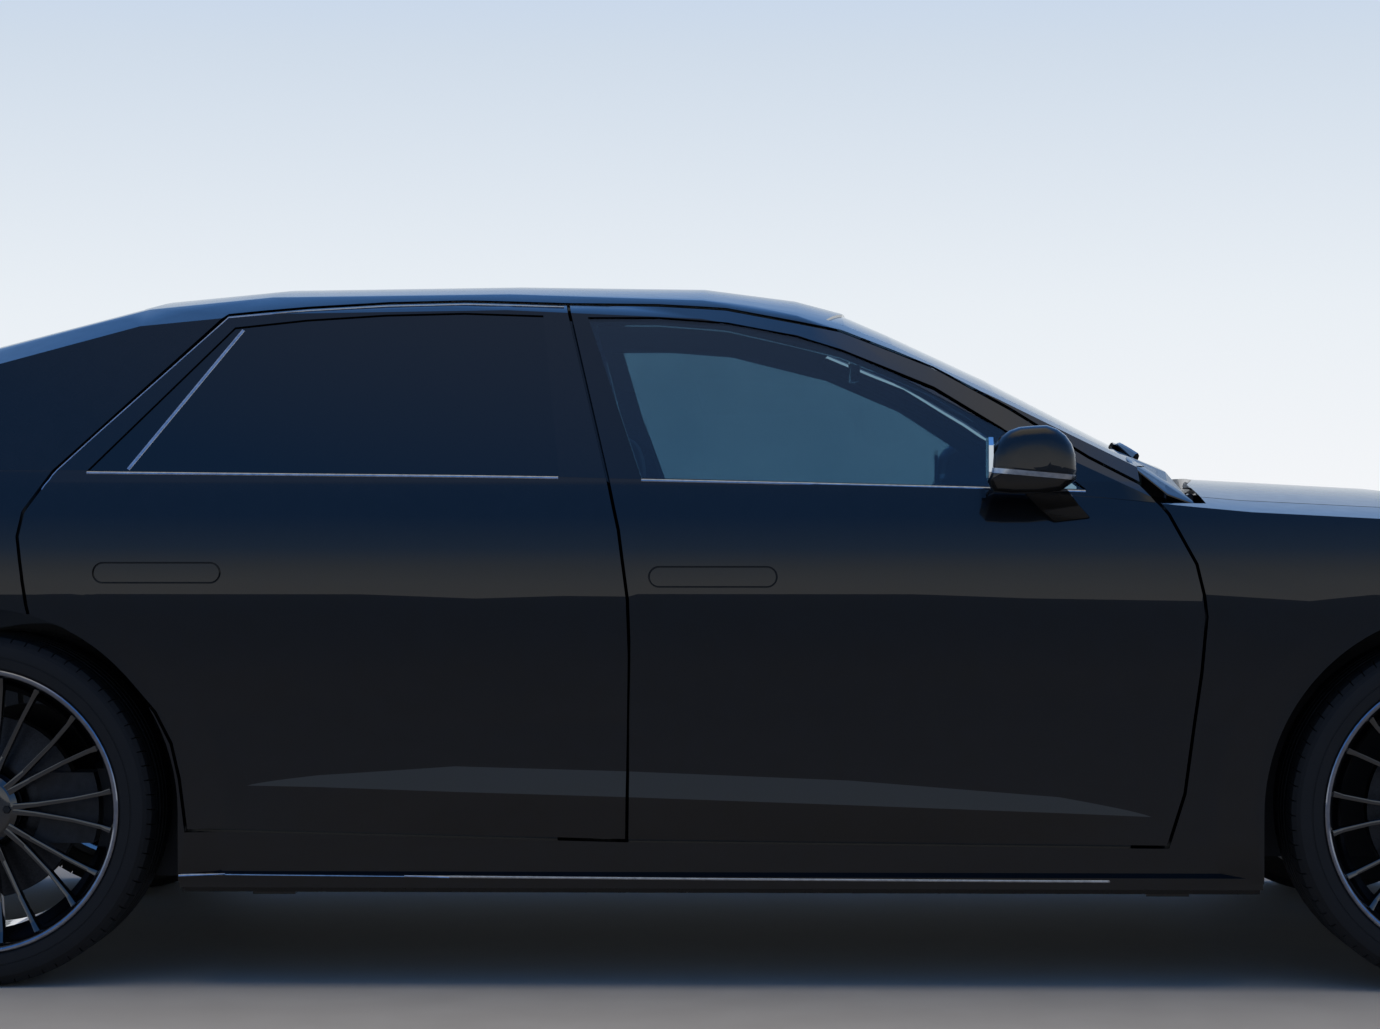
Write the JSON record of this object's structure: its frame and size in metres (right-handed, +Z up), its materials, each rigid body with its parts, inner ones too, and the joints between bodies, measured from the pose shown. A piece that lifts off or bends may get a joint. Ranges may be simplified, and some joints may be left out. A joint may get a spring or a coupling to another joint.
{
  "type": "full-size sedan car",
  "caption": "Long low four-door sedan with opening doors, bonnet and boot lid, steered front wheels, glass, seats and hollow cabin",
  "frame": {"origin": "on the ground below the middle of the bounding box", "axes": "+X to the front of the car, +Y to its left, +Z up"},
  "size_m": [5.302, 2.16, 1.527],
  "materials": {
    "paint": "gloss black paint",
    "underbody": "satin black",
    "dark_trim": "gloss black trim",
    "screen_glass": "clear tinted glass",
    "dark_glass": "dark tinted glass",
    "lamp": "clear lamp cover",
    "red_lamp": "red lamp cover",
    "rim_metal": "gloss black with a bright lip",
    "tyre_rubber": "black rubber",
    "cast": "dark cast metal",
    "leather": "dark leather",
    "soft_trim": "dark cabin trim"
  },
  "bodies": {
    "body": {"floor_pan": "underbody", "front_body": "underbody", "rear_body": "underbody", "roof_panel": "paint", "side_frame_left": "paint", "side_frame_right": "paint", "fender_left": "paint", "fender_right": "paint", "front_bumper": "paint", "rear_bumper": "paint", "grille": "dark_trim", "headlamps": "lamp", "tail_lamps": "red_lamp", "windscreen": "screen_glass", "rear_window": "dark_glass", "engine_block": "cast", "front_subframe": "cast", "rear_subframe": "cast", "front_seat_left": "leather", "front_seat_right": "leather", "rear_bench": "leather", "dashboard": "soft_trim", "steering_wheel": "soft_trim"},
    "bonnet": {"bonnet": "paint"},
    "boot_lid": {"boot_lid": "paint"},
    "door_front_left": {"door_front_left": "paint", "glass_front_left": "screen_glass", "mirror_left": "paint"},
    "wheel_front_left": {"rim_front_left": "rim_metal", "tyre_front_left": "tyre_rubber"},
    "door_rear_left": {"door_rear_left": "paint", "glass_rear_left": "dark_glass"},
    "wheel_rear_left": {"rim_rear_left": "rim_metal", "tyre_rear_left": "tyre_rubber"},
    "knuckle_front_left": {"knuckle_front_left": "cast"},
    "door_front_right": {"door_front_right": "paint", "glass_front_right": "screen_glass", "mirror_right": "paint"},
    "wheel_front_right": {"rim_front_right": "rim_metal", "tyre_front_right": "tyre_rubber"},
    "door_rear_right": {"door_rear_right": "paint", "glass_rear_right": "dark_glass"},
    "wheel_rear_right": {"rim_rear_right": "rim_metal", "tyre_rear_right": "tyre_rubber"},
    "knuckle_front_right": {"knuckle_front_right": "cast"}
  },
  "joints": [
    {"name": "bonnet_hinge", "type": "hinge", "parent": "body", "child": "bonnet", "pos_m": [1.1255, 0, 1.034], "axis": [0, -1, 0], "range_deg": [0, 50]},
    {"name": "boot_hinge", "type": "hinge", "parent": "body", "child": "boot_lid", "pos_m": [-2.238, 0, 1.114], "axis": [0, 1, 0], "range_deg": [0, 70]},
    {"name": "door_front_left_hinge", "type": "hinge", "parent": "body", "child": "door_front_left", "pos_m": [1.0375, 0.9365, 0.6], "axis": [0, 0, -1], "range_deg": [0, 65]},
    {"name": "door_rear_left_hinge", "type": "hinge", "parent": "body", "child": "door_rear_left", "pos_m": [-0.1685, 0.9365, 0.6], "axis": [0, 0, -1], "range_deg": [0, 65]},
    {"name": "steer_left", "type": "hinge", "parent": "body", "child": "knuckle_front_left", "pos_m": [1.662, 0.794, 0.372], "axis": [0, 0, 1], "range_deg": [-35, 35]},
    {"name": "wheel_front_left_spin", "type": "hinge", "parent": "knuckle_front_left", "child": "wheel_front_left", "pos_m": [1.662, 0.824, 0.372], "axis": [0, 1, 0], "continuous": true},
    {"name": "wheel_rear_left_spin", "type": "hinge", "parent": "body", "child": "wheel_rear_left", "pos_m": [-1.466, 0.824, 0.372], "axis": [0, 1, 0], "continuous": true},
    {"name": "door_front_right_hinge", "type": "hinge", "parent": "body", "child": "door_front_right", "pos_m": [1.0375, -0.9365, 0.6], "axis": [0, 0, 1], "range_deg": [0, 65]},
    {"name": "door_rear_right_hinge", "type": "hinge", "parent": "body", "child": "door_rear_right", "pos_m": [-0.1685, -0.9365, 0.6], "axis": [0, 0, 1], "range_deg": [0, 65]},
    {"name": "steer_right", "type": "hinge", "parent": "body", "child": "knuckle_front_right", "pos_m": [1.662, -0.794, 0.372], "axis": [0, 0, 1], "range_deg": [-35, 35]},
    {"name": "wheel_front_right_spin", "type": "hinge", "parent": "knuckle_front_right", "child": "wheel_front_right", "pos_m": [1.662, -0.824, 0.372], "axis": [0, 1, 0], "continuous": true},
    {"name": "wheel_rear_right_spin", "type": "hinge", "parent": "body", "child": "wheel_rear_right", "pos_m": [-1.466, -0.824, 0.372], "axis": [0, 1, 0], "continuous": true}
  ],
  "couplings": [
    {"joint": "steer_right", "follows": "steer_left", "ratio": 1}
  ]
}
